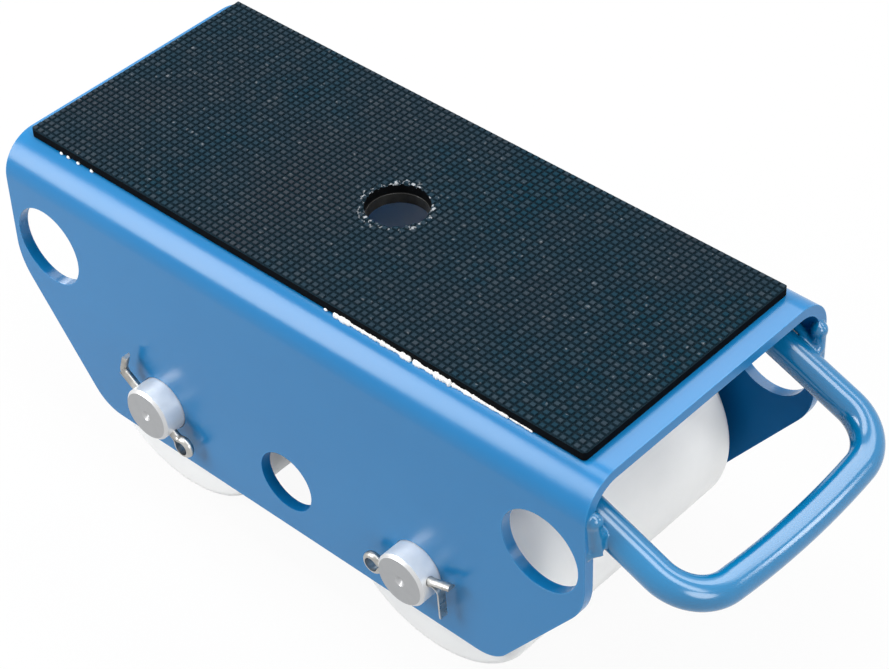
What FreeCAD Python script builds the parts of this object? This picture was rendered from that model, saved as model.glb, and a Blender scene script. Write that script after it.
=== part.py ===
import FreeCAD, Part
import math
import os
from FreeCAD import Vector

# A machine skate: a folded steel channel that rides on two wide plastic rollers, with a rubber deck pad on top
# and a bent bar handle at its front. X runs along the length, with the handle at +X. Z is up from the floor.
# The origin is at the middle of the whole skate's outline, on the floor. All sizes are in millimetres.

# Folded channel
chassis_length = 256.0
chassis_width = 118.0
plate_thickness = 4.0
bend_outer_radius = 14.0
deck_height = 120.0
cheek_floor_gap = 21.6
cheek_foot_setback = 36.5
cheek_foot_radius = 15.0
cheek_corner_drop = 49.5
cheek_corner_radius = 24.0

# Holes in the channel
king_hole_diameter = 21.0
end_hole_diameter = 30.0
end_hole_end_margin = 17.6
end_hole_drop = 35.5
middle_hole_diameter = 23.0
axle_hole_clearance = 0.2

# Deck pad
pad_thickness = 3.5
pad_front_margin = 8.5
pad_rear_margin = 4.5
pad_side_margin = 10.0
pad_corner_radius = 1.5
pad_hole_clearance = 0.5
pad_blocks_along = 23
pad_blocks_across = 10
pad_groove_width = 0.7
pad_groove_depth = 0.6

# Handle: a round bar whose legs slope up and back to the inside of the cheeks
handle_bar_diameter = 11.0
handle_reach = 34.7
handle_drop = 36.7
handle_slope_degrees = 21.5
handle_bend_radius = 16.5
handle_bow_radius = 350.0
handle_side_gap = 2.0
handle_root_gap = 0.5
handle_weld_radius = 2.2
handle_weld_bite = 0.8
handle_weld_corner_radius = 2.6
handle_weld_blob_radius = 3.1
handle_web_radius = 4.0
handle_web_drop = 2.75
handle_web_cover = 3.4
handle_web_overlap = 1.4

# Axles
axle_diameter = 20.0
axle_spacing = 118.0
axle_standout = 8.5
axle_end_chamfer = 1.0
axle_mark_diameter = 4.0
axle_mark_depth = 1.6

# Split pins: a half-round wire folded on itself, with an eye at one end and a bent leg at the other
pin_diameter = 3.2
pin_hole_clearance = 0.2
pin_inset = 4.3
pin_leg_gap = 0.16
pin_eye_start_gap = 1.5
pin_eye_neck_radius = 3.0
pin_eye_radius = 2.6
pin_bend_radius = 3.0
pin_shapes = {
    "front": {"lean_degrees": 18, "leg_past_axle": 9.8, "bend_past_axle": 1.0, "bend_degrees": 105, "tail": 10.0},
    "rear": {"lean_degrees": 145, "leg_past_axle": 7.4, "bend_past_axle": 5.5, "bend_degrees": 72, "tail": 6.0},
}

# Rollers
roller_diameter = 85.0
roller_near_gap = 1.5
roller_far_gap = 5.0
roller_edge_radius = 3.0
roller_core_step = 3.5

# Ball bearings: one at each end of each roller
bearing_outer_diameter = 47.0
bearing_width = 14.0
bearing_recess = 0.5
bearing_seat_clearance = 0.02
race_thickness = 4.0
race_bore_clearance = 0.05
race_edge_chamfer = 0.6
ball_diameter = 7.9
ball_count = 8
ball_clearance = 0.05
cage_thickness = 3.0
cage_width = 10.0
cage_pocket_clearance = 0.1
shield_thickness = 0.5
shield_inset = 0.7
shield_gap = 0.3
spacer_wall = 3.2
side_washer_wall = 3.5

# How far a cutting solid runs past the face that it cuts
cut_margin = 10.0

# Places that follow from the sizes above
axle_radius = axle_diameter / 2
axle_height = roller_diameter / 2
half_width = chassis_width / 2
bend_inner_radius = bend_outer_radius - plate_thickness
inner_half_width = half_width - plate_thickness
front_edge = chassis_length / 2
deck_underside = deck_height - plate_thickness
end_hole_height = deck_height - end_hole_drop
end_hole_place = front_edge - end_hole_end_margin
handle_radius = handle_bar_diameter / 2
handle_tip = Vector(front_edge + handle_reach, 0, deck_height - handle_drop)
handle_outer_side = inner_half_width - handle_side_gap
handle_leg_side = handle_outer_side - handle_radius
handle_slope = math.radians(handle_slope_degrees)
leg_direction = Vector(math.cos(handle_slope), 0, -math.sin(handle_slope))
leg_normal = Vector(math.sin(handle_slope), 0, math.cos(handle_slope))
leg_root_height = deck_underside - bend_inner_radius - handle_root_gap
leg_length = (leg_root_height - handle_tip.z) / math.sin(handle_slope)
leg_length_to_edge = handle_reach / math.cos(handle_slope)
axle_half_length = half_width + axle_standout
pin_side = axle_half_length - pin_inset
pin_radius = pin_diameter / 2
roller_width = 2 * inner_half_width - roller_near_gap - roller_far_gap
roller_middle = (roller_near_gap - roller_far_gap) / 2
bearing_outer_radius = bearing_outer_diameter / 2
bearing_middle = roller_width / 2 - bearing_recess - bearing_width / 2
bearing_inner_end = bearing_middle - bearing_width / 2
bearing_outer_end = bearing_middle + bearing_width / 2
race_bore_radius = axle_radius + race_bore_clearance
ball_path_radius = (axle_radius + bearing_outer_radius) / 2
ball_radius = ball_diameter / 2
inner_race_radius = axle_radius + race_thickness
outer_race_bore_radius = bearing_outer_radius - race_thickness
axle_places = {"front": axle_spacing / 2, "rear": -axle_spacing / 2}
side_signs = {"near": -1, "far": 1}
outline_middle = (handle_tip.x + handle_radius - front_edge) / 2

across = Vector(0, 1, 0)
upward = Vector(0, 0, 1)


def cross_cylinder(radius, x, z, low, high):
    """A cylinder along Y between two places."""
    return Part.makeCylinder(radius, high - low, Vector(x, low, z), across)


def cross_ring(outer_radius, bore_radius, x, z, low, high):
    """A plain ring along Y."""
    bore = cross_cylinder(bore_radius, x, z, low - cut_margin, high + cut_margin)
    return cross_cylinder(outer_radius, x, z, low, high).cut(bore)


def rounded_outline(corners):
    """A closed wire through corners given as (point, radius), each rounded by an arc where its radius isn't 0."""
    stretches = []
    for index, (point, radius) in enumerate(corners):
        back = (corners[index - 1][0] - point).normalize()
        ahead = (corners[(index + 1) % len(corners)][0] - point).normalize()
        half_angle = back.getAngle(ahead) / 2
        reach = radius / math.tan(half_angle)
        middle = (back + ahead).normalize()
        nearest = point + middle * (radius / math.sin(half_angle) - radius)
        stretches.append((point + back * reach, nearest, point + ahead * reach, radius))
    edges = []
    for index, (start, nearest, end, radius) in enumerate(stretches):
        if radius > 0:
            edges.append(Part.Arc(start, nearest, end).toShape())
        following = stretches[(index + 1) % len(stretches)][0]
        edges.append(Part.makeLine(end, following))
    return Part.Wire(edges)


def channel_section():
    """The folded plate's section across its length, at the rear end."""
    rear = -front_edge
    corners = [
        (Vector(rear, -half_width, 0), 0),
        (Vector(rear, -half_width, deck_height), bend_outer_radius),
        (Vector(rear, half_width, deck_height), bend_outer_radius),
        (Vector(rear, half_width, 0), 0),
        (Vector(rear, inner_half_width, 0), 0),
        (Vector(rear, inner_half_width, deck_underside), bend_inner_radius),
        (Vector(rear, -inner_half_width, deck_underside), bend_inner_radius),
        (Vector(rear, -inner_half_width, 0), 0),
    ]
    return Part.Face(rounded_outline(corners))


def cheek_outline():
    """The cheeks' outline seen from the side: square above, drawn in below to a shorter foot."""
    side = -half_width - cut_margin
    top = deck_height + cut_margin
    corner_height = deck_height - cheek_corner_drop
    foot = front_edge - cheek_foot_setback
    corners = [
        (Vector(-front_edge, side, top), 0),
        (Vector(front_edge, side, top), 0),
        (Vector(front_edge, side, corner_height), cheek_corner_radius),
        (Vector(foot, side, cheek_floor_gap), cheek_foot_radius),
        (Vector(-foot, side, cheek_floor_gap), cheek_foot_radius),
        (Vector(-front_edge, side, corner_height), cheek_corner_radius),
    ]
    return Part.Face(rounded_outline(corners))


def end_hole_drill(x):
    """A big hole near the cheeks' ends, drilled straight across both of them."""
    low = -half_width - cut_margin
    high = half_width + cut_margin
    return cross_cylinder(end_hole_diameter / 2, x, end_hole_height, low, high)


def make_chassis():
    """The channel, cut to the cheeks' outline and drilled."""
    channel = channel_section().extrude(Vector(chassis_length, 0, 0))
    outline = cheek_outline().extrude(across * (chassis_width + 2 * cut_margin))
    chassis = channel.common(outline)
    low = -half_width - cut_margin
    high = half_width + cut_margin
    drills = [
        end_hole_drill(end_hole_place),
        end_hole_drill(-end_hole_place),
        cross_cylinder(middle_hole_diameter / 2, 0, axle_height, low, high),
        Part.makeCylinder(king_hole_diameter / 2, plate_thickness + 2 * cut_margin,
                          Vector(0, 0, deck_underside - cut_margin), upward),
    ]
    for x in axle_places.values():
        drills.append(cross_cylinder(axle_radius + axle_hole_clearance, x, axle_height, low, high))
    for drill in drills:
        chassis = chassis.cut(drill)
    return chassis


def pad_grooves(rear, front, half):
    """The main grooves that part the pad's top into blocks."""
    floor = deck_height + pad_thickness - pad_groove_depth
    height = pad_groove_depth + cut_margin
    along_length = front - rear + 2 * cut_margin
    across_length = 2 * half + 2 * cut_margin
    grooves = []
    for index in range(1, pad_blocks_along):
        x = rear + (front - rear) * index / pad_blocks_along - pad_groove_width / 2
        grooves.append(Part.makeBox(pad_groove_width, across_length, height, Vector(x, -half - cut_margin, floor)))
    for index in range(1, pad_blocks_across):
        y = -half + 2 * half * index / pad_blocks_across - pad_groove_width / 2
        grooves.append(Part.makeBox(along_length, pad_groove_width, height, Vector(rear - cut_margin, y, floor)))
    return grooves


def make_pad():
    """The rubber pad that lies on the deck, grooved into blocks."""
    front = front_edge - pad_front_margin
    rear = -front_edge + pad_rear_margin
    half = half_width - pad_side_margin
    corners = [(Vector(x, y, deck_height), pad_corner_radius)
               for x, y in ((rear, -half), (front, -half), (front, half), (rear, half))]
    pad = Part.Face(rounded_outline(corners)).extrude(upward * pad_thickness)
    hole = Part.makeCylinder(king_hole_diameter / 2 + pad_hole_clearance, pad_thickness + 2 * cut_margin,
                             Vector(0, 0, deck_height - cut_margin), upward)
    return pad.cut(hole).cut(pad_grooves(rear, front, half))


def leg_point(side, back):
    """A point on a leg's centre line, at a length back from the crossbar's centre line."""
    return handle_tip + across * side - leg_direction * back


def make_handle():
    """The bar: leg, bend, slightly bowed crossbar, bend and leg, all in the legs' sloping plane.

    The front hole is drilled with the bar in place, so it also takes a shallow scallop off the legs' undersides.
    """
    turn = handle_bend_radius
    bow = handle_bow_radius
    bend_side = handle_leg_side - turn
    bend_back = bow - math.sqrt((bow - turn) ** 2 - bend_side ** 2)
    join_angle = math.asin(bend_side / (bow - turn))
    middle_angle = (join_angle + math.pi / 2) / 2
    join_side = bow * math.sin(join_angle)
    join_back = bow * (1 - math.cos(join_angle))
    middle_side = bend_side + turn * math.sin(middle_angle)
    middle_back = bend_back - turn * math.cos(middle_angle)
    roots = [leg_point(sign * handle_leg_side, leg_length) for sign in (-1, 1)]
    bends = [leg_point(sign * handle_leg_side, bend_back) for sign in (-1, 1)]
    middles = [leg_point(sign * middle_side, middle_back) for sign in (-1, 1)]
    joins = [leg_point(sign * join_side, join_back) for sign in (-1, 1)]
    edges = [
        Part.makeLine(roots[0], bends[0]),
        Part.Arc(bends[0], middles[0], joins[0]).toShape(),
        Part.Arc(joins[0], handle_tip, joins[1]).toShape(),
        Part.Arc(joins[1], middles[1], bends[1]).toShape(),
        Part.makeLine(bends[1], roots[1]),
    ]
    section = Part.Wire([Part.makeCircle(handle_radius, roots[0], leg_direction)])
    sweep = Part.BRepOffsetAPI.MakePipeShell(Part.Wire(edges))
    sweep.add(section)
    sweep.build()
    sweep.makeSolid()
    return sweep.shape().cut(end_hole_drill(end_hole_place))


def bead(start, end, radius):
    """A straight weld bead with round ends."""
    along = end - start
    body = Part.makeCylinder(radius, along.Length, start, along)
    for point in (start, end):
        body = body.fuse(Part.makeSphere(radius, point))
    return body.removeSplitter()


def make_weld_web(sign, corner_height):
    """The arched web below a leg: nearly as wide as the cheek's front edge, and narrowed to the leg's side."""
    downward = upward * -1
    inner_side = sign * (handle_outer_side - handle_web_overlap)
    outer_side = sign * (inner_half_width + handle_web_cover)
    half_angle = downward.getAngle(leg_direction) / 2
    middle = (downward + leg_direction).normalize()
    corner = Vector(front_edge, inner_side, corner_height) - middle * handle_weld_bite
    reach = handle_web_radius / math.tan(half_angle)
    arch_ends = [corner + downward * reach, corner + leg_direction * reach]
    arch_top = corner + middle * (handle_web_radius / math.sin(half_angle) - handle_web_radius)
    outline = Part.Wire([
        Part.makeLine(corner, arch_ends[0]),
        Part.Arc(arch_ends[0], arch_top, arch_ends[1]).toShape(),
        Part.makeLine(arch_ends[1], corner),
    ])
    arch = Part.Face(outline).extrude(across * (outer_side - inner_side))
    foot = corner_height - cut_margin
    tip = arch_ends[1].x
    plan = Part.makePolygon([
        Vector(corner.x, inner_side, foot),
        Vector(tip, inner_side, foot),
        Vector(tip, sign * handle_outer_side, foot),
        Vector(front_edge, outer_side, foot),
        Vector(corner.x, outer_side, foot),
        Vector(corner.x, inner_side, foot),
    ])
    return arch.common(Part.Face(plan).extrude(upward * (2 * cut_margin)))


def make_handle_weld(sign, chassis, handle):
    """The weld that holds one leg.

    One bead runs above the leg. Another runs down the cheek's front corner, from a blob where the fold starts
    to the arched web below the leg.
    """
    bead_side = sign * (inner_half_width - handle_weld_radius + handle_weld_bite)
    side_gap = abs(bead_side) - handle_leg_side
    centre_gap = handle_radius + handle_weld_radius - handle_weld_bite
    lift = leg_normal * math.sqrt(centre_gap ** 2 - side_gap ** 2)
    at_edge = leg_point(bead_side, leg_length_to_edge)
    at_root = leg_point(bead_side, leg_length - handle_radius)
    upper = bead(at_root + lift, at_edge + lift, handle_weld_radius)
    web_top = at_edge.z - handle_web_drop / math.cos(handle_slope)
    blob_place = Vector(front_edge, sign * inner_half_width, deck_height - bend_outer_radius)
    blob = Part.makeSphere(handle_weld_blob_radius, blob_place, leg_direction)
    corner_foot = Vector(front_edge + handle_weld_bite, sign * (handle_outer_side + handle_weld_bite), web_top)
    corner_bead = bead(blob_place, corner_foot, handle_weld_corner_radius)
    weld = upper.fuse([corner_bead, blob, make_weld_web(sign, web_top)]).cut(chassis).cut(handle)
    return Part.makeCompound(weld.Solids)


def make_axle(x):
    """A plain axle with chamfered ends, centre marks and a cross hole near each end for its split pin."""
    straight = axle_half_length - axle_end_chamfer
    axle = cross_cylinder(axle_radius, x, axle_height, -straight, straight)
    for sign in side_signs.values():
        outward = across * sign
        end = Vector(x, 0, axle_height) + outward * axle_half_length
        shoulder = end - outward * axle_end_chamfer
        tip = Part.makeCone(axle_radius, axle_radius - axle_end_chamfer, axle_end_chamfer, shoulder, outward)
        mark = Part.makeCone(0, axle_mark_diameter / 2, axle_mark_depth, end - outward * axle_mark_depth, outward)
        axle = axle.fuse(tip).cut(mark)
    return axle.removeSplitter()


def drill_pin_holes(axle, name, x):
    """Cuts the split pins' cross holes, which lean as the pins do."""
    lean = math.radians(pin_shapes[name]["lean_degrees"])
    direction = Vector(math.cos(lean), 0, math.sin(lean))
    reach = axle_radius + cut_margin
    for sign in side_signs.values():
        start = Vector(x, sign * pin_side, axle_height) - direction * reach
        axle = axle.cut(Part.makeCylinder(pin_radius + pin_hole_clearance, 2 * reach, start, direction))
    return axle


def turn_path(start, heading, radius, degrees):
    """An arc in the XZ plane: its edge, end point and end heading. Positive degrees turn left, seen along +Y."""
    side = 1 if degrees > 0 else -1
    angle = math.radians(degrees)
    left = Vector(-heading.z, 0, heading.x)
    centre = start + left * (side * radius)

    def at(share):
        turned = angle * share
        spoke = start - centre
        cosine, sine = math.cos(turned), math.sin(turned)
        return centre + Vector(spoke.x * cosine - spoke.z * sine, 0, spoke.x * sine + spoke.z * cosine)

    end_heading = Vector(heading.x * math.cos(angle) - heading.z * math.sin(angle), 0,
                         heading.x * math.sin(angle) + heading.z * math.cos(angle))
    return Part.Arc(start, at(0.5), at(1)).toShape(), at(1), end_heading


def make_split_pin(name, x, sign):
    """One split pin: straight leg, eye and bent leg in one half-round wire, with its flat side inward."""
    shape = pin_shapes[name]
    half_gap = pin_leg_gap / 2
    eye_start = axle_radius + pin_eye_start_gap
    neck_degrees = math.degrees(math.acos((half_gap + pin_eye_neck_radius) / (pin_eye_neck_radius + pin_eye_radius)))
    leg_end = Vector(axle_radius + shape["leg_past_axle"], 0, half_gap)
    neck_start = Vector(-eye_start, 0, half_gap)
    heading = Vector(-1, 0, 0)
    edges = [Part.makeLine(leg_end, neck_start)]
    neck_in, point, heading = turn_path(neck_start, heading, pin_eye_neck_radius, -neck_degrees)
    half_eye = 90 + neck_degrees
    eye_top, point, heading = turn_path(point, heading, pin_eye_radius, half_eye)
    eye_foot, point, heading = turn_path(point, heading, pin_eye_radius, half_eye)
    neck_out, point, heading = turn_path(point, heading, pin_eye_neck_radius, -neck_degrees)
    edges += [neck_in, eye_top, eye_foot, neck_out]
    bend_start = Vector(axle_radius + shape["bend_past_axle"], 0, point.z)
    edges.append(Part.makeLine(point, bend_start))
    bend, point, heading = turn_path(bend_start, heading, pin_bend_radius, -shape["bend_degrees"])
    edges += [bend, Part.makeLine(point, point + heading * shape["tail"])]
    flat_ends = [leg_end + across * pin_radius, leg_end - across * pin_radius]
    round_top = leg_end + upward * pin_radius
    section = Part.Wire([Part.makeLine(*flat_ends), Part.Arc(flat_ends[1], round_top, flat_ends[0]).toShape()])
    sweep = Part.BRepOffsetAPI.MakePipeShell(Part.Wire(edges))
    sweep.setBiNormalMode(across)
    sweep.add(section)
    sweep.build()
    sweep.makeSolid()
    pin = sweep.shape()
    pin.rotate(Vector(0, 0, 0), across, -shape["lean_degrees"])
    pin.translate(Vector(x, sign * pin_side, axle_height))
    return pin


def make_roller(x):
    """The plastic roller: rounded edges, a bearing seat at each end and a narrower core between them."""
    low = roller_middle - roller_width / 2
    high = roller_middle + roller_width / 2
    seat_radius = bearing_outer_radius + bearing_seat_clearance
    core_radius = bearing_outer_radius - roller_core_step
    blank = cross_cylinder(roller_diameter / 2, x, axle_height, low, high)
    rims = [edge for edge in blank.Edges if isinstance(edge.Curve, Part.Circle)]
    roller = blank.makeFillet(roller_edge_radius, rims)
    roller = roller.cut(cross_cylinder(core_radius, x, axle_height, low - cut_margin, high + cut_margin))
    for sign in side_signs.values():
        seat = sorted((roller_middle + sign * bearing_inner_end, sign * (half_width + cut_margin)))
        roller = roller.cut(cross_cylinder(seat_radius, x, axle_height, *seat))
    return roller


def ball_groove(x, y):
    """The ring that the balls sweep, with their clearance."""
    return Part.makeTorus(ball_path_radius, ball_radius + ball_clearance, Vector(x, y, axle_height), across)


def make_inner_race(x, y):
    """The bearing's inner race on the axle."""
    half = bearing_width / 2
    ring = cross_ring(inner_race_radius, race_bore_radius, x, axle_height, y - half, y + half)
    return ring.cut(ball_groove(x, y))


def make_outer_race(x, y):
    """The bearing's outer race in the roller."""
    half = bearing_width / 2
    blank = cross_cylinder(bearing_outer_radius, x, axle_height, y - half, y + half)
    rims = [edge for edge in blank.Edges if isinstance(edge.Curve, Part.Circle)]
    blank = blank.makeChamfer(race_edge_chamfer, rims)
    bore = cross_cylinder(outer_race_bore_radius, x, axle_height, y - half - cut_margin, y + half + cut_margin)
    return blank.cut(bore).cut(ball_groove(x, y))


def ball_centres(x, y):
    """The places of one bearing's balls."""
    step = 2 * math.pi / ball_count
    return [Vector(x + ball_path_radius * math.cos(step * index), y,
                   axle_height + ball_path_radius * math.sin(step * index)) for index in range(ball_count)]


def make_balls(x, y):
    """One bearing's balls."""
    return Part.makeCompound([Part.makeSphere(ball_radius, centre) for centre in ball_centres(x, y)])


def make_cage(x, y):
    """The ring that keeps one bearing's balls apart."""
    outer = ball_path_radius + cage_thickness / 2
    inner = ball_path_radius - cage_thickness / 2
    cage = cross_ring(outer, inner, x, axle_height, y - cage_width / 2, y + cage_width / 2)
    for centre in ball_centres(x, y):
        hub = Vector(x, y, axle_height)
        pocket = Part.makeCylinder(ball_radius + cage_pocket_clearance, outer + cut_margin, hub, centre - hub)
        cage = cage.cut(pocket)
    return cage


def make_shields(x, y):
    """The two thin rings that close one bearing, held in its outer race."""
    outer_face = bearing_width / 2 - shield_inset
    inner_face = outer_face - shield_thickness
    rings = []
    for low, high in ((y + inner_face, y + outer_face), (y - outer_face, y - inner_face)):
        rings.append(cross_ring(outer_race_bore_radius, inner_race_radius + shield_gap, x, axle_height, low, high))
    return Part.makeCompound(rings)


def make_spacer_tube(x):
    """The tube on the axle that keeps the two inner races apart."""
    outer = race_bore_radius + spacer_wall
    low = roller_middle - bearing_inner_end
    high = roller_middle + bearing_inner_end
    return cross_ring(outer, race_bore_radius, x, axle_height, low, high)


def make_side_washer(x, sign):
    """The washer between an inner race and the cheek."""
    low, high = sorted((roller_middle + sign * bearing_outer_end, sign * inner_half_width))
    return cross_ring(race_bore_radius + side_washer_wall, race_bore_radius, x, axle_height, low, high)


def make_parts():
    """Every piece by its name."""
    chassis = make_chassis()
    handle = make_handle()
    parts = {"chassis_channel": chassis, "deck_pad": make_pad(), "pull_handle": handle}
    for side, sign in side_signs.items():
        parts[f"handle_weld_{side}"] = make_handle_weld(sign, chassis, handle)
    for end, x in axle_places.items():
        parts[f"{end}_axle"] = drill_pin_holes(make_axle(x), end, x)
        parts[f"{end}_roller"] = make_roller(x)
        parts[f"{end}_spacer_tube"] = make_spacer_tube(x)
        for side, sign in side_signs.items():
            y = roller_middle + sign * bearing_middle
            parts[f"{end}_split_pin_{side}"] = make_split_pin(end, x, sign)
            parts[f"{end}_side_washer_{side}"] = make_side_washer(x, sign)
            parts[f"{end}_inner_race_{side}"] = make_inner_race(x, y)
            parts[f"{end}_outer_race_{side}"] = make_outer_race(x, y)
            parts[f"{end}_balls_{side}"] = make_balls(x, y)
            parts[f"{end}_ball_cage_{side}"] = make_cage(x, y)
            parts[f"{end}_shields_{side}"] = make_shields(x, y)
    return parts


os.makedirs("parts", exist_ok=True)
for node, piece in make_parts().items():
    piece.translate(Vector(-outline_middle, 0, 0))
    piece.exportStep(f"parts/{node}.step")
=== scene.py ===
import math
import random

import bmesh
import bpy
from mathutils import Matrix, Vector


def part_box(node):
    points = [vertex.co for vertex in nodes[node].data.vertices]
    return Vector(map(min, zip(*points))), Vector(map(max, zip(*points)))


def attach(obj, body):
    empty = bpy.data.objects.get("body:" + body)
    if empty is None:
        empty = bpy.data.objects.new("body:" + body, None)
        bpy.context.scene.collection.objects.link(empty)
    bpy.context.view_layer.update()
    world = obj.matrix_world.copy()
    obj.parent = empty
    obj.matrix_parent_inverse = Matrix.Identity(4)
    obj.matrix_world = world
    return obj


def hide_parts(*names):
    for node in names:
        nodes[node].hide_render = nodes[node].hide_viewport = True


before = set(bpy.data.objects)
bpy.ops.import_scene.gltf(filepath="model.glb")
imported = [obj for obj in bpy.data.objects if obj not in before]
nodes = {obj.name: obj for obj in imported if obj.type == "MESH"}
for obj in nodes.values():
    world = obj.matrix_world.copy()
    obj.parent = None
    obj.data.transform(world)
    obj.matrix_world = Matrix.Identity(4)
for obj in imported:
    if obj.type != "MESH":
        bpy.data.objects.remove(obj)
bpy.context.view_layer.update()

random.seed(11)
print("frame loaded:", len(nodes), "nodes")


# bench helpers

seamGap = 0.000002  # points this close become one


def clearSelection():
    if bpy.context.mode != "OBJECT":
        bpy.ops.object.mode_set(mode="OBJECT")
    bpy.ops.object.select_all(action="DESELECT")


def takeUp(piece):  # the only selected object, and the active one
    clearSelection()
    piece.select_set(True)
    bpy.context.view_layer.objects.active = piece


def openShell(piece, kind):  # into edit mode with nothing selected
    takeUp(piece)
    bpy.ops.object.mode_set(mode="EDIT")
    bpy.ops.mesh.select_mode(type=kind)
    bpy.ops.mesh.select_all(action="DESELECT")
    return bmesh.from_edit_mesh(piece.data)


def pickFaces(piece, wanted):
    shell = openShell(piece, "FACE")
    for face in shell.faces:
        face.select_set(wanted(face))
    bmesh.update_edit_mesh(piece.data)


def pickEdges(piece, wanted):
    shell = openShell(piece, "EDGE")
    for edge in shell.edges:
        edge.select_set(wanted(edge))
    bmesh.update_edit_mesh(piece.data)


def settle(piece):  # modifiers and place go into the mesh
    takeUp(piece)
    for modifier in list(piece.modifiers):
        bpy.ops.object.modifier_apply(modifier=modifier.name)
    bpy.ops.object.transform_apply(location=True, rotation=True, scale=True)


def cutWith(piece, tool, operation):
    cut = piece.modifiers.new("cut", "BOOLEAN")
    cut.operation = operation
    cut.solver = "EXACT"
    cut.object = tool
    settle(piece)
    bpy.data.objects.remove(tool)


def joinTo(piece, others):
    takeUp(piece)
    for other in others:
        other.select_set(True)
    bpy.ops.object.join()


def melt(piece, look):  # one skin over joined lumps, then eased
    skin = piece.modifiers.new("melt", "REMESH")
    skin.mode = "VOXEL"
    skin.voxel_size = look["grain"]
    ease = piece.modifiers.new("ease", "SMOOTH")
    ease.factor = look["easing"]
    ease.iterations = look["smoothing"]


def blockOf(low, high):
    clearSelection()
    bpy.ops.mesh.primitive_cube_add(size=1.0, location=(low + high) / 2)
    block = bpy.context.active_object
    block.scale = high - low
    settle(block)
    return block


def boxMiddle(name):
    low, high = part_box(name)
    return (low + high) / 2


def mergedCopy(name, label):  # a CAD piece's mesh with its seams closed
    piece = bpy.data.objects.new(label, nodes[name].data.copy())
    bpy.context.scene.collection.objects.link(piece)
    openShell(piece, "VERT")
    bpy.ops.mesh.select_all(action="SELECT")
    bpy.ops.mesh.customdata_custom_splitnormals_clear()
    bpy.ops.mesh.remove_doubles(threshold=seamGap)
    bpy.ops.object.mode_set(mode="OBJECT")
    return piece


# node helpers

white = (1, 1, 1, 1)
mixSockets = {"factor": 0, "first": 6, "second": 7, "result": 2}  # a Mix node's sockets for colours


def setInput(tree, socket, value):
    if isinstance(value, bpy.types.NodeSocket):
        tree.links.new(value, socket)
    else:
        socket.default_value = value


def addNode(tree, kind, inputs=None, **settings):
    node = tree.nodes.new("ShaderNode" + kind)
    for key, value in settings.items():
        setattr(node, key, value)
    for name, value in (inputs or {}).items():
        setInput(tree, node.inputs[name], value)
    return node


def newGroup(name, inputs, outputs):
    group = bpy.data.node_groups.new(name, "ShaderNodeTree")
    for socketName, kind, value in inputs:
        socket = group.interface.new_socket(socketName, in_out="INPUT", socket_type="NodeSocket" + kind)
        socket.default_value = value
    for socketName, kind in outputs:
        group.interface.new_socket(socketName, in_out="OUTPUT", socket_type="NodeSocket" + kind)
    entry = group.nodes.new("NodeGroupInput").outputs
    leave = group.nodes.new("NodeGroupOutput").inputs
    return group, entry, leave


def useGroup(tree, group, inputs):
    node = tree.nodes.new("ShaderNodeGroup")
    node.node_tree = group
    for name, value in inputs.items():
        setInput(tree, node.inputs[name], value)
    return node.outputs


def newMaterial(name, constants):
    material = bpy.data.materials.new(name)
    material.use_nodes = True
    tree = material.node_tree
    tree.nodes.clear()
    shader = addNode(tree, "BsdfPrincipled", constants)
    addNode(tree, "OutputMaterial", {"Surface": shader.outputs["BSDF"]})
    return material, tree, shader


def feed(tree, shader, **links):
    for name, socket in links.items():
        tree.links.new(socket, shader.inputs[name])


def mixColour(tree, factor, first, second):
    node = addNode(tree, "Mix", data_type="RGBA")
    setInput(tree, node.inputs[mixSockets["factor"]], factor)
    setInput(tree, node.inputs[mixSockets["first"]], first)
    setInput(tree, node.inputs[mixSockets["second"]], second)
    return node.outputs[mixSockets["result"]]


def maths(tree, operation, *values):
    return addNode(tree, "Math", dict(enumerate(values)), operation=operation).outputs[0]


def vectorMaths(tree, operation, *values):
    return addNode(tree, "VectorMath", dict(enumerate(values)), operation=operation).outputs


def objectPlace(tree):
    return addNode(tree, "TexCoord").outputs["Object"]


def noise(tree, place, scale, detail):
    return addNode(tree, "TexNoise", {"Vector": place, "Scale": scale, "Detail": detail}).outputs["Fac"]


def span(tree, value, fromLow, fromHigh, toLow, toHigh):
    inputs = {"Value": value, "From Min": fromLow, "From Max": fromHigh, "To Min": toLow, "To Max": toHigh}
    return addNode(tree, "MapRange", inputs).outputs["Result"]


def softSpan(tree, value, fromLow, fromHigh):  # eased from 0 to 1
    inputs = {"Value": value, "From Min": fromLow, "From Max": fromHigh, "To Min": 0.0, "To Max": 1.0}
    return addNode(tree, "MapRange", inputs, interpolation_type="SMOOTHSTEP").outputs["Result"]


def bumpFrom(tree, height, strength, distance):
    inputs = {"Height": height, "Strength": strength, "Distance": distance}
    return addNode(tree, "Bump", inputs).outputs["Normal"]


# shared effects

drifting = {"detail": 4.0, "roughness": 0.55, "low": 0.3, "high": 0.7}
graining = {"detail": 2.0, "roughness": 0.5, "low": 0.3, "high": 0.7}
edging = {"samples": 6, "flat": 0.995, "turned": 0.85}


def makeDriftGroup():  # slow change of tone over a surface
    inputs = [("Colour", "Color", white), ("Other Colour", "Color", white), ("Scale", "Float", 10.0)]
    group, entry, leave = newGroup("tone drift", inputs, [("Colour", "Color"), ("Mask", "Float")])
    cloud = addNode(group, "TexNoise", {
        "Vector": objectPlace(group), "Scale": entry["Scale"],
        "Detail": drifting["detail"], "Roughness": drifting["roughness"],
    }).outputs["Fac"]
    mask = softSpan(group, cloud, drifting["low"], drifting["high"])
    group.links.new(mixColour(group, mask, entry["Colour"], entry["Other Colour"]), leave["Colour"])
    group.links.new(mask, leave["Mask"])
    return group


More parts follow.
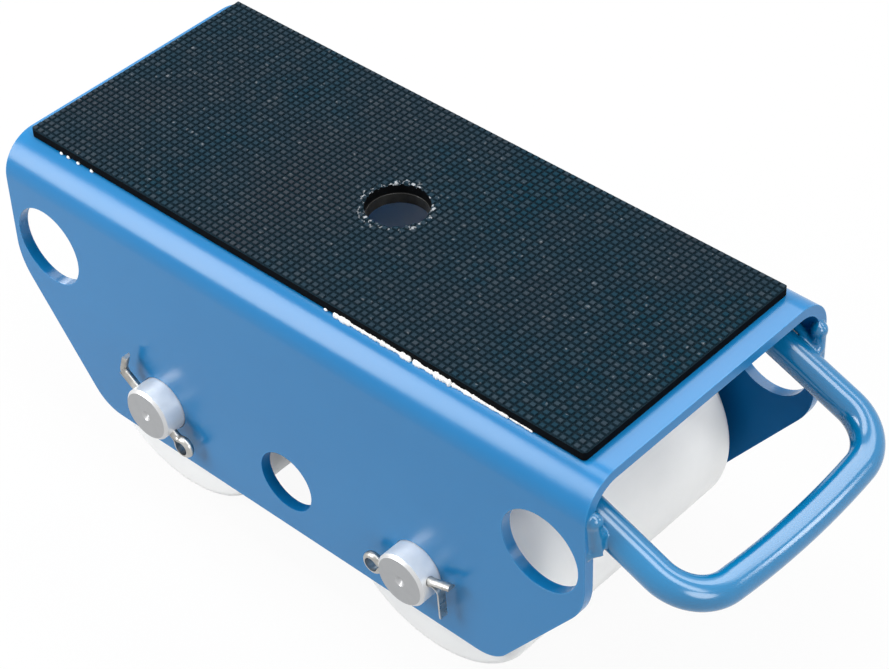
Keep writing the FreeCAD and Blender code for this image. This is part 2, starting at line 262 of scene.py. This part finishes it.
def makeGrainGroup():  # fine unevenness, as a height and a mask
    inputs = [("Scale", "Float", 500.0), ("Stretch", "Vector", (1, 1, 1))]
    group, entry, leave = newGroup("fine grain", inputs, [("Height", "Float"), ("Mask", "Float")])
    pulled = vectorMaths(group, "MULTIPLY", objectPlace(group), entry["Stretch"])["Vector"]
    grain = addNode(group, "TexNoise", {
        "Vector": pulled, "Scale": entry["Scale"],
        "Detail": graining["detail"], "Roughness": graining["roughness"],
    }).outputs["Fac"]
    group.links.new(grain, leave["Height"])
    group.links.new(span(group, grain, graining["low"], graining["high"], 0.0, 1.0), leave["Mask"])
    return group


def makeEdgeGroup():  # 1 along outer edges, 0 on flat faces
    group, entry, leave = newGroup("edge mask", [("Radius", "Float", 0.001)], [("Mask", "Float")])
    rounded = addNode(group, "Bevel", {"Radius": entry["Radius"]}, samples=edging["samples"])
    flat = addNode(group, "NewGeometry").outputs["Normal"]
    likeness = vectorMaths(group, "DOT_PRODUCT", rounded.outputs["Normal"], flat)["Value"]
    group.links.new(span(group, likeness, edging["flat"], edging["turned"], 0.0, 1.0), leave["Mask"])
    return group


toneDrift = makeDriftGroup()
fineGrain = makeGrainGroup()
edgeMask = makeEdgeGroup()


# hole in the middle of the deck and pad
deckHole = {"padRadius": 0.011, "shadedRing": 0.0005, "specksOut": 0.0028, "specksSoft": 0.0006, "sides": 72}


def holeMask(tree, radius, soft):  # 1 within a radius of the hole's middle
    centre = boxMiddle("chassis_channel")
    flatPlace = vectorMaths(tree, "MULTIPLY", objectPlace(tree), (1.0, 1.0, 0.0))["Vector"]
    away = vectorMaths(tree, "DISTANCE", flatPlace, (centre.x, centre.y, 0.0))["Value"]
    return span(tree, away, radius, radius - soft, 0.0, 1.0)


# small finishes: zinc wire, ground steel, moulded cages, dried glue, and the pad's cut rubber sides and the
# deck's bore, both near-black as painted shade
smallGrain = {"strength": 0.3, "depth": 0.00003}
smallParts = {
    "pin wire": {
        "colour": (0.520, 0.520, 0.500, 1), "other": (0.330, 0.320, 0.300, 1), "metal": 1.0, "shine": 0.5,
        "rough": (0.26, 0.46), "scale": 160.0, "grain": 700.0,
    },
    "bearing steel": {
        "colour": (0.540, 0.545, 0.550, 1), "other": (0.440, 0.445, 0.450, 1), "metal": 1.0, "shine": 0.5,
        "rough": (0.16, 0.30), "scale": 70.0, "grain": 900.0,
    },
    "cage plastic": {
        "colour": (0.300, 0.230, 0.120, 1), "other": (0.250, 0.185, 0.090, 1), "metal": 0.0, "shine": 0.5,
        "rough": (0.36, 0.52), "scale": 60.0, "grain": 900.0,
    },
    "dried glue": {
        "colour": (0.860, 0.860, 0.840, 1), "other": (0.700, 0.700, 0.680, 1), "metal": 0.0, "shine": 0.5,
        "rough": (0.30, 0.55), "scale": 180.0, "grain": 900.0,
    },
    # the pad's cut sides in near-black, darker than the rubber itself: painted shade
    "shaded cut rubber": {
        "colour": (0.0008, 0.0010, 0.0014, 1), "other": (0.0020, 0.0024, 0.0030, 1), "metal": 0.0,
        "shine": 0.04, "rough": (0.60, 0.80), "scale": 300.0, "grain": 1800.0,
    },
    # near-black colour for the deck's bore wall: painted shade
    "shaded bore": {
        "colour": (0.012, 0.012, 0.012, 1), "other": (0.030, 0.030, 0.028, 1), "metal": 0.3, "shine": 0.3,
        "rough": (0.30, 0.50), "scale": 220.0, "grain": 900.0,
    },
}


def makeSmallFinish(name):
    look = smallParts[name]
    constants = {"Metallic": look["metal"], "Specular IOR Level": look["shine"]}
    material, tree, shader = newMaterial(name, constants)
    tones = {"Colour": look["colour"], "Other Colour": look["other"], "Scale": look["scale"]}
    drift = useGroup(tree, toneDrift, tones)
    grain = useGroup(tree, fineGrain, {"Scale": look["grain"]})
    feed(tree, shader, **{
        "Base Color": drift["Colour"],
        "Roughness": span(tree, grain["Mask"], 0.0, 1.0, *look["rough"]),
        "Normal": bumpFrom(tree, grain["Height"], smallGrain["strength"], smallGrain["depth"]),
    })
    return material


# blue enamels: the channel's outside, the bar with its welds, and the channel's inside, whose darker,
# duller blue is painted shade
enamelCoat = {
    "driftScale": 9.0, "edgeWidth": 0.0012, "edgeHighlightShare": 0.5, "peelScale": 260.0, "peelStrength": 0.5,
}
# each enamel's edge colour is a lighter blue laid along the rounded edges: painted highlight
enamels = {
    "blue enamel": {
        "blue": (0.003, 0.142, 0.352, 1), "other": (0.005, 0.153, 0.370, 1),
        "edge": (0.026, 0.225, 0.480, 1), "shine": 0.40, "rough": (0.20, 0.27), "peelDepth": 0.000012,
    },
    "bar enamel": {
        "blue": (0.001, 0.141, 0.322, 1), "other": (0.002, 0.153, 0.341, 1),
        "edge": (0.012, 0.228, 0.455, 1), "shine": 0.80, "rough": (0.15, 0.20), "peelDepth": 0.000012,
    },
    # the inside's darker, duller blue: painted shade
    "shaded inner enamel": {
        "blue": (0.001, 0.104, 0.285, 1), "other": (0.002, 0.122, 0.325, 1),
        "edge": (0.004, 0.140, 0.360, 1), "shine": 0.05, "rough": (0.40, 0.55), "peelDepth": 0.00003,
    },
}


def makeEnamel(name):
    look = enamels[name]
    material, tree, shader = newMaterial(name, {"Specular IOR Level": look["shine"]})
    tones = {"Colour": look["blue"], "Other Colour": look["other"], "Scale": enamelCoat["driftScale"]}
    drift = useGroup(tree, toneDrift, tones)
    edges = useGroup(tree, edgeMask, {"Radius": enamelCoat["edgeWidth"]})
    # a lighter blue along the rounded edges: painted highlight
    edgeHighlight = maths(tree, "MULTIPLY", edges["Mask"], enamelCoat["edgeHighlightShare"])
    painted = mixColour(tree, edgeHighlight, drift["Colour"], look["edge"])
    # a near-black ring on the deck round the pad's hole: painted shade
    boreShade = holeMask(tree, deckHole["padRadius"] + deckHole["shadedRing"], deckHole["shadedRing"])
    peel = useGroup(tree, fineGrain, {"Scale": enamelCoat["peelScale"]})
    feed(tree, shader, **{
        "Base Color": mixColour(tree, boreShade, painted, smallParts["shaded bore"]["colour"]),
        "Roughness": span(tree, drift["Mask"], 0.0, 1.0, *look["rough"]),
        "Normal": bumpFrom(tree, peel["Height"], enamelCoat["peelStrength"], look["peelDepth"]),
    })
    return material


# ribbed rubber of the deck pad
deckPad = {
    "studsAlong": 92, "studsAcross": 40, "studHeight": 0.0006, "grooveWidth": 0.0007, "studSlope": 0.0002,
    "cornerRound": 0.0015, "cornerSteps": 4, "cutDepth": 0.02, "steepTo": 0.3,
}
rubber = {
    "top": (0.005, 0.027, 0.044, 1), "otherTop": (0.025, 0.029, 0.036, 1),
    "paleTop": (0.036, 0.046, 0.056, 1), "paleFrom": 0.50, "paleShare": 0.5,
    # the groove colour, darker than the tops, is painted shade in the recesses
    "groove": (0.006, 0.015, 0.022, 1), "grooveTo": 0.9, "topFrom": 0.1,
    "speck": (0.300, 0.320, 0.340, 1), "speckDetail": 1.0, "dustScale": 420.0, "dust": (0.68, 0.80),
    "dustShare": 0.3, "tornScale": 620.0, "torn": (0.56, 0.66),
    "driftScale": 14.0, "shine": 0.02, "rough": (0.70, 0.50),
    "grainScale": 2600.0, "grainStrength": 0.5, "grainDepth": 0.00006,
}


def makeRubber():
    low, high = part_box("deck_pad")
    pitch = ((high.x - low.x) / deckPad["studsAlong"], (high.y - low.y) / deckPad["studsAcross"], 1.0)
    material, tree, shader = newMaterial("pad rubber", {"Specular IOR Level": rubber["shine"]})
    place = objectPlace(tree)
    fromCorner = vectorMaths(tree, "SUBTRACT", place, low)["Vector"]
    cell = vectorMaths(tree, "SNAP", fromCorner, pitch)["Vector"]
    stud = addNode(tree, "TexWhiteNoise", {"Vector": cell}, noise_dimensions="2D").outputs["Value"]
    tones = {"Colour": rubber["top"], "Other Colour": rubber["otherTop"], "Scale": rubber["driftScale"]}
    drift = useGroup(tree, toneDrift, tones)
    pale = span(tree, stud, rubber["paleFrom"], 1.0, 0.0, rubber["paleShare"])
    tops = mixColour(tree, pale, drift["Colour"], rubber["paleTop"])
    dustNoise = noise(tree, place, rubber["dustScale"], rubber["speckDetail"])
    dust = span(tree, dustNoise, *rubber["dust"], 0.0, rubber["dustShare"])
    tops = mixColour(tree, dust, tops, rubber["speck"])
    # darker colour low in the grooves between the studs: painted shade
    height = addNode(tree, "SeparateXYZ", {0: place}).outputs["Z"]
    deep = high.z - rubber["grooveTo"] * deckPad["studHeight"]
    level = high.z - rubber["topFrom"] * deckPad["studHeight"]
    body = mixColour(tree, span(tree, height, deep, level, 0.0, 1.0), rubber["groove"], tops)
    nearHole = holeMask(tree, deckHole["padRadius"] + deckHole["specksOut"], deckHole["specksSoft"])
    tornNoise = noise(tree, place, rubber["tornScale"], rubber["speckDetail"])
    torn = maths(tree, "MULTIPLY", nearHole, span(tree, tornNoise, *rubber["torn"], 0.0, 1.0))
    grain = useGroup(tree, fineGrain, {"Scale": rubber["grainScale"]})
    feed(tree, shader, **{
        "Base Color": mixColour(tree, torn, body, rubber["speck"]),
        "Roughness": span(tree, stud, 0.0, 1.0, *rubber["rough"]),
        "Normal": bumpFrom(tree, grain["Height"], rubber["grainStrength"], rubber["grainDepth"]),
    })
    return material


# turned white plastic of the rollers
plastic = {
    "white": (0.840, 0.842, 0.836, 1), "grey": (0.770, 0.778, 0.776, 1), "ior": 1.5, "driftScale": 22.0,
    "scuffScale": 60.0, "scuffStretch": (1.0, 7.0, 1.0), "rough": (0.34, 0.48),
    "lineScale": 320.0, "lineWander": 0.6, "lineDetail": 1.0, "lineStrength": 0.35, "lineDepth": 0.00002,
}


def makePlastic():
    material, tree, shader = newMaterial("roller plastic", {"IOR": plastic["ior"]})
    tones = {"Colour": plastic["white"], "Other Colour": plastic["grey"], "Scale": plastic["driftScale"]}
    drift = useGroup(tree, toneDrift, tones)
    scuffs = useGroup(tree, fineGrain, {"Scale": plastic["scuffScale"], "Stretch": plastic["scuffStretch"]})
    lines = addNode(tree, "TexWave", {
        "Vector": objectPlace(tree), "Scale": plastic["lineScale"],
        "Distortion": plastic["lineWander"], "Detail": plastic["lineDetail"],
    }, wave_type="BANDS", bands_direction="Y").outputs["Fac"]
    feed(tree, shader, **{
        "Base Color": drift["Colour"],
        "Roughness": span(tree, scuffs["Mask"], 0.0, 1.0, *plastic["rough"]),
        "Normal": bumpFrom(tree, lines, plastic["lineStrength"], plastic["lineDepth"]),
    })
    return material


# turned steel of the axles: rings on the darker ends, a pale plated shank
steel = {
    "bright": (0.880, 0.880, 0.880, 1), "dull": (0.760, 0.765, 0.770, 1), "end": (0.350, 0.358, 0.368, 1),
    "shine": 0.5, "metal": (0.55, 0.70), "driftScale": 90.0, "endTurn": (0.55, 0.85),
    "ringScale": 520.0, "ringWander": 0.3, "ringStrength": 0.25, "ringDepth": 0.00003,
    "scratchScale": 300.0, "scratchStretch": (1.0, 9.0, 1.0), "rough": (0.30, 0.46),
}


def makeTurnedSteel(end):
    material, tree, shader = newMaterial(f"{end} axle steel", {"Specular IOR Level": steel["shine"]})
    tones = {"Colour": steel["bright"], "Other Colour": steel["dull"], "Scale": steel["driftScale"]}
    drift = useGroup(tree, toneDrift, tones)
    facing = addNode(tree, "SeparateXYZ", {0: addNode(tree, "NewGeometry").outputs["Normal"]}).outputs["Y"]
    onEnd = span(tree, maths(tree, "ABSOLUTE", facing), *steel["endTurn"], 0.0, 1.0)
    centred = vectorMaths(tree, "SUBTRACT", objectPlace(tree), boxMiddle(f"{end}_axle"))["Vector"]
    rings = addNode(tree, "TexWave", {
        "Vector": centred, "Scale": steel["ringScale"], "Distortion": steel["ringWander"],
    }, wave_type="RINGS", rings_direction="Y").outputs["Fac"]
    marks = {"Scale": steel["scratchScale"], "Stretch": steel["scratchStretch"]}
    scratches = useGroup(tree, fineGrain, marks)
    feed(tree, shader, **{
        "Base Color": mixColour(tree, onEnd, drift["Colour"], steel["end"]),
        "Metallic": span(tree, onEnd, 0.0, 1.0, *steel["metal"]),
        "Roughness": span(tree, scratches["Mask"], 0.0, 1.0, *steel["rough"]),
        "Normal": bumpFrom(tree, rings, steel["ringStrength"], steel["ringDepth"]),
    })
    return material


enamelPaint = makeEnamel("blue enamel")
barPaint = makeEnamel("bar enamel")
shadedInnerPaint = makeEnamel("shaded inner enamel")
padRubber = makeRubber()
rollerPlastic = makePlastic()
axleSteel = {end: makeTurnedSteel(end) for end in ("front", "rear")}
pinWire = makeSmallFinish("pin wire")
bearingSteel = makeSmallFinish("bearing steel")
cagePlastic = makeSmallFinish("cage plastic")
driedGlue = makeSmallFinish("dried glue")
shadedCutRubber = makeSmallFinish("shaded cut rubber")
shadedBore = makeSmallFinish("shaded bore")
print("materials made:", len(bpy.data.materials))


# painted channel: the folded plate with its edges rounded
channel = {
    "flatWithin": 1.0, "edgeRound": 0.0010, "roundSteps": 3, "sharpFrom": 35.0, "rimRadius": 0.0118,
    "rimLean": 0.97, "crossBore": 0.0118, "deckFrom": 0.100, "turned": 0.5,
}


def finishOf(face, centre, boreHeight):  # 0 outside, 1 in the deck's hole, near-black as painted shade, 2 inside and in the middle holes, a darker enamel as painted shade
    spot = face.calc_center_median()
    fromHole = math.hypot(spot.x - centre.x, spot.y - centre.y)
    fromBore = math.hypot(spot.x - centre.x, spot.z - boreHeight)
    if fromHole < channel["rimRadius"] and abs(face.normal.z) < channel["rimLean"]:
        return 1
    if fromBore < channel["crossBore"]:
        return 2
    underDeck = face.normal.z < -channel["turned"] and spot.z > channel["deckFrom"]
    inward = face.normal.y * math.copysign(1.0, spot.y) < -channel["turned"]
    return 2 if underDeck or inward else 0


def buildChannel():
    piece = mergedCopy("chassis_channel", "painted_channel")
    openShell(piece, "VERT")
    bpy.ops.mesh.select_all(action="SELECT")
    bpy.ops.mesh.dissolve_limited(angle_limit=math.radians(channel["flatWithin"]))
    bpy.ops.object.mode_set(mode="OBJECT")
    bpy.ops.object.shade_smooth()
    edge = piece.modifiers.new("edge", "BEVEL")
    edge.limit_method = "ANGLE"
    edge.angle_limit = math.radians(channel["sharpFrom"])
    edge.width = channel["edgeRound"]
    edge.segments = channel["roundSteps"]
    flat = piece.modifiers.new("flat", "WEIGHTED_NORMAL")
    flat.mode = "FACE_AREA"
    settle(piece)
    piece.data.materials.clear()
    centre = boxMiddle("chassis_channel")
    boreHeight = boxMiddle("front_axle").z
    # the deck's bore gets near-black and the inside a darker enamel: painted shade
    for index, material in enumerate((enamelPaint, shadedBore, shadedInnerPaint)):
        piece.data.materials.append(material)
        pickFaces(piece, lambda face: finishOf(face, centre, boreHeight) == index)
        piece.active_material_index = index
        bpy.ops.object.material_slot_assign()
    bpy.ops.object.mode_set(mode="OBJECT")
    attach(piece, "chassis")
    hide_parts("chassis_channel")
    return piece


paintedChannel = buildChannel()
print("channel:", len(paintedChannel.data.polygons), "faces")


# ribbed pad: a grid of studs on a slab with rounded corners and the hole
def buildPad():
    low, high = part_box("deck_pad")
    middle = (low + high) / 2
    length, width = high.x - low.x, high.y - low.y
    grooveFloor = high.z - deckPad["studHeight"]
    clearSelection()
    bpy.ops.mesh.primitive_grid_add(
        x_subdivisions=deckPad["studsAlong"], y_subdivisions=deckPad["studsAcross"], size=1.0,
        location=(middle.x, middle.y, grooveFloor))
    piece = bpy.context.active_object
    piece.name = "ribbed_pad"
    piece.scale = (length, width, 1.0)
    settle(piece)
    pickFaces(piece, lambda face: True)
    groove = deckPad["grooveWidth"] / 2
    bpy.ops.mesh.inset(thickness=groove, depth=0.0, use_individual=True, use_even_offset=True)
    bpy.ops.mesh.inset(thickness=deckPad["studSlope"], depth=deckPad["studHeight"], use_individual=True)
    pickEdges(piece, lambda edge: edge.is_boundary)
    bpy.ops.mesh.extrude_region_move(TRANSFORM_OT_translate={"value": (0, 0, low.z - grooveFloor)})
    bpy.ops.mesh.edge_face_add()
    bpy.ops.mesh.select_all(action="SELECT")
    bpy.ops.mesh.normals_make_consistent(inside=False)

    clearSelection()  # round the slab's corners
    bpy.ops.mesh.primitive_cube_add(size=1.0, location=middle)
    block = bpy.context.active_object
    block.scale = (length, width, deckPad["cutDepth"])
    settle(block)
    upright = deckPad["cutDepth"] / 2
    pickEdges(block, lambda edge: abs(edge.verts[0].co.z - edge.verts[1].co.z) > upright)
    bpy.ops.mesh.bevel(offset=deckPad["cornerRound"], segments=deckPad["cornerSteps"], affect="EDGES")
    bpy.ops.object.mode_set(mode="OBJECT")
    cutWith(piece, block, "INTERSECT")

    centre = boxMiddle("chassis_channel")
    clearSelection()
    bpy.ops.mesh.primitive_cylinder_add(
        vertices=deckHole["sides"], radius=deckHole["padRadius"], depth=deckPad["cutDepth"],
        location=(centre.x, centre.y, middle.z))
    cutWith(piece, bpy.context.active_object, "DIFFERENCE")
    takeUp(piece)
    bpy.ops.object.shade_flat()
    piece.data.materials.clear()
    piece.data.materials.append(padRubber)
    piece.data.materials.append(shadedCutRubber)
    # the pad's steep sides get the near-black rubber: painted shade
    pickFaces(piece, lambda face: abs(face.normal.z) < deckPad["steepTo"]
              and face.calc_center_median().z < grooveFloor)
    piece.active_material_index = 1
    bpy.ops.object.material_slot_assign()
    bpy.ops.object.mode_set(mode="OBJECT")
    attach(piece, "chassis")
    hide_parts("deck_pad")
    return piece


ribbedPad = buildPad()
print("pad:", len(ribbedPad.data.polygons), "faces")


# welds of the handle: the plain beads melted into the bar and the cheek beside them
weld = {
    "grain": 0.00035, "easing": 0.5, "smoothing": 28, "sink": -0.00015, "back": 0.005, "ahead": 0.011,
    "inner": 0.044, "outer": 0.0588, "below": 0.003, "above": 0.003,
    "webInner": 0.0538, "webTop": 0.0950, "webFoot": 0.0900,
}


def stubOf(name, low, high):  # the part of a CAD piece inside a block
    piece = mergedCopy(name, "stub")
    cutWith(piece, blockOf(low, high), "INTERSECT")
    return piece


def buildWeld(side):
    name = f"handle_weld_{side}"
    sign = -1.0 if side == "near" else 1.0
    low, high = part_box(name)
    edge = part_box("chassis_channel")[1].x
    front = edge + weld["ahead"]
    foot = low.z - weld["below"]
    inner, outer = sorted((sign * weld["inner"], sign * weld["outer"]))
    stubLow = Vector((edge - weld["back"], inner, foot))
    stubHigh = Vector((front, outer, high.z + weld["above"]))
    stubs = [stubOf(node, stubLow, stubHigh) for node in ("pull_handle", "chassis_channel")]
    piece = mergedCopy(name, f"run_weld_{side}")
    webLow, webHigh = sorted((sign * weld["inner"], sign * weld["webInner"]))
    underLeg = blockOf(Vector((low.x, webLow, foot)), Vector((front, webHigh, weld["webTop"])))
    cutWith(piece, underLeg, "DIFFERENCE")
    underWeb = blockOf(Vector((low.x, inner, foot)), Vector((front, outer, weld["webFoot"])))
    cutWith(piece, underWeb, "DIFFERENCE")
    joinTo(piece, stubs)
    melt(piece, weld)
    sink = piece.modifiers.new("sink", "DISPLACE")
    sink.strength = weld["sink"]
    sink.mid_level = 0.0
    settle(piece)
    bpy.ops.object.shade_smooth()
    piece.data.materials.clear()
    piece.data.materials.append(barPaint)
    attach(piece, "chassis")
    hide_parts(name)
    return piece


runWelds = [buildWeld(side) for side in ("near", "far")]
print("welds:", [len(piece.data.polygons) for piece in runWelds], "faces")


# glue squeezed out under the pad's near edge: place along X and length in mm, then size of the bumps
glue = {
    "runs": [(-5.0, 1.5, 0.6), (2.2, 7.2, 1.25), (12.0, 12.0, 0.80), (20.6, 4.2, 1.20), (24.8, 4.0, 0.75),
             (28.9, 4.2, 1.60), (33.6, 2.8, 1.40), (37.5, 5.0, 0.85), (43.9, 6.9, 1.50), (53.0, 10.0, 0.95),
             (64.0, 12.0, 0.70), (75.0, 9.0, 0.50),
             (-128.5, 0.9, 0.6), (-125.0, 1.2, 0.8), (-120.0, 0.9, 0.6), (-113.5, 0.9, 0.6)],
    "bumpStep": 1.1, "wander": 0.2, "bulge": (0.75, 1.15), "radius": 0.001, "ballSteps": 2,
    "longShare": 0.85, "outShare": 0.75, "out": 0.0001, "sunk": 0.0002,
    "grain": 0.00018, "easing": 0.5, "smoothing": 4,
}
millimetresPerMetre = 1000


def buildGlue():
    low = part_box("deck_pad")[0]
    bumps = []
    for middle, length, size in glue["runs"]:
        count = max(1, round(length / glue["bumpStep"]))
        for index in range(count):
            along = middle + length * ((index + 0.5) / count - 0.5)
            along += random.uniform(-glue["wander"], glue["wander"])
            bulge = size * random.uniform(*glue["bulge"])
            out = glue["out"] * random.random()
            clearSelection()
            bpy.ops.mesh.primitive_ico_sphere_add(subdivisions=glue["ballSteps"], radius=glue["radius"])
            bump = bpy.context.active_object
            bump.location = (along / millimetresPerMetre, low.y - out, low.z - glue["sunk"])
            bump.scale = (glue["longShare"], bulge * glue["outShare"], bulge)
            settle(bump)
            bumps.append(bump)
    piece = bumps[0]
    joinTo(piece, bumps)
    piece.name = "squeezed_glue"
    melt(piece, glue)
    settle(piece)
    bpy.ops.object.shade_smooth()
    piece.data.materials.clear()
    piece.data.materials.append(driedGlue)
    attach(piece, "chassis")
    return piece


squeezedGlue = buildGlue()
print("glue:", len(squeezedGlue.data.polygons), "faces")


# finishes of the CAD pieces that stay
def dress(name, material):
    for slot in nodes[name].material_slots:
        slot.material = material


for name in nodes:
    end = name.split("_")[0]
    if "axle" in name:
        dress(name, axleSteel[end])
    elif "pin" in name:
        dress(name, pinWire)
    elif name.endswith("_roller"):
        dress(name, rollerPlastic)
    elif "cage" in name:
        dress(name, cagePlastic)
    elif name == "pull_handle":
        dress(name, barPaint)
    elif name not in ("chassis_channel", "deck_pad") and not name.startswith("handle_weld"):
        dress(name, bearingSteel)
print("finishes set")


# floor, light and camera
studio = {
    "floor": (0.56, 0.56, 0.56, 1), "floorSize": 12.0, "floorGlow": 0.94, "worldLight": 0.10,
    "boxes": {
        "left soft box": {"from": (-0.55, -0.64, 0.54), "away": 1.22, "size": (0.66, 1.10), "power": 15.0},
        "overhead box": {"from": (0.17, 0.00, 0.98), "away": 1.20, "size": (0.50, 2.20), "power": 15.0},
        "rear soft box": {"from": (-0.08, 0.58, 0.75), "away": 1.40, "size": (2.30, 0.60), "power": 13.5},
        "right soft box": {"from": (0.90, -0.25, 0.40), "away": 1.50, "size": (0.80, 0.80), "power": 8.5},
        "back fill": {"from": (-0.95, 0.25, 0.25), "away": 1.50, "size": (0.80, 0.80), "power": 7.0},
        "right strip": {"from": (0.78, 0.54, 0.32), "away": 1.30, "size": (0.20, 0.50), "power": 2.0},
    },
}
shot = {
    "azimuth": 43.71, "elevation": 41.47, "roll": -2.27, "away": 0.8551, "target": (-0.0015, 0.0, 0.0784),
    "lens": 104.94, "sensor": 36.0, "nearest": 0.01,
}


def seenDirectly(tree):  # 1 where the camera, a reflection or glass looks at a surface
    path = addNode(tree, "LightPath").outputs
    direct = maths(tree, "ADD", path["Is Camera Ray"], path["Is Glossy Ray"])
    rays = {0: direct, 1: path["Is Transmission Ray"]}
    return addNode(tree, "Math", rays, operation="ADD", use_clamp=True).outputs[0]


def buildFloor():
    clearSelection()
    bpy.ops.mesh.primitive_plane_add(size=studio["floorSize"])
    floor = bpy.context.active_object
    floor.name = "studio_floor"
    material = bpy.data.materials.new("studio floor")
    material.use_nodes = True
    tree = material.node_tree
    tree.nodes.clear()
    matt = addNode(tree, "BsdfDiffuse", {"Color": studio["floor"]})
    glow = addNode(tree, "Emission", {"Color": white, "Strength": 1.0})
    share = span(tree, seenDirectly(tree), 0.0, 1.0, 0.0, studio["floorGlow"])
    mixed = addNode(tree, "MixShader", {0: share, 1: matt.outputs[0], 2: glow.outputs[0]})
    addNode(tree, "OutputMaterial", {"Surface": mixed.outputs[0]})
    floor.data.materials.append(material)


def buildLamps():
    target = Vector(shot["target"])
    for name, box in studio["boxes"].items():
        way = Vector(box["from"]).normalized()
        bpy.ops.object.light_add(type="AREA", location=target + way * box["away"])
        lamp = bpy.context.active_object
        lamp.name = name
        lamp.rotation_euler = way.to_track_quat("Z", "Y").to_euler()
        lamp.data.shape = "ELLIPSE"
        lamp.data.size, lamp.data.size_y = box["size"]
        lamp.data.energy = box["power"]


def buildWorld():
    world = bpy.data.worlds.new("studio")
    bpy.context.scene.world = world
    world.use_nodes = True
    tree = world.node_tree
    tree.nodes.clear()
    strength = span(tree, seenDirectly(tree), 0.0, 1.0, studio["worldLight"], 1.0)
    sky = addNode(tree, "Background", {"Color": white, "Strength": strength})
    addNode(tree, "OutputWorld", {"Surface": sky.outputs[0]})


def buildCamera():
    turn, tilt, roll = (math.radians(shot[key]) for key in ("azimuth", "elevation", "roll"))
    back = Vector((math.sin(turn) * math.cos(tilt), -math.cos(turn) * math.cos(tilt), math.sin(tilt)))
    right = Vector((math.cos(turn), math.sin(turn), 0.0))
    up = back.cross(right)
    rolledRight = right * math.cos(roll) + up * math.sin(roll)
    rolledUp = up * math.cos(roll) - right * math.sin(roll)
    axes = Matrix((rolledRight, rolledUp, back)).transposed()
    bpy.ops.object.camera_add()
    camera = bpy.context.active_object
    camera.name = "photo camera"
    camera.matrix_world = Matrix.Translation(Vector(shot["target"]) + back * shot["away"]) @ axes.to_4x4()
    camera.data.sensor_fit = "HORIZONTAL"
    camera.data.sensor_width = shot["sensor"]
    camera.data.lens = shot["lens"]
    camera.data.clip_start = shot["nearest"]
    camera.data.dof.use_dof = False
    bpy.context.scene.camera = camera


buildFloor()
buildLamps()
buildWorld()
buildCamera()
bpy.context.scene.view_settings.view_transform = "Standard"
print("studio ready")
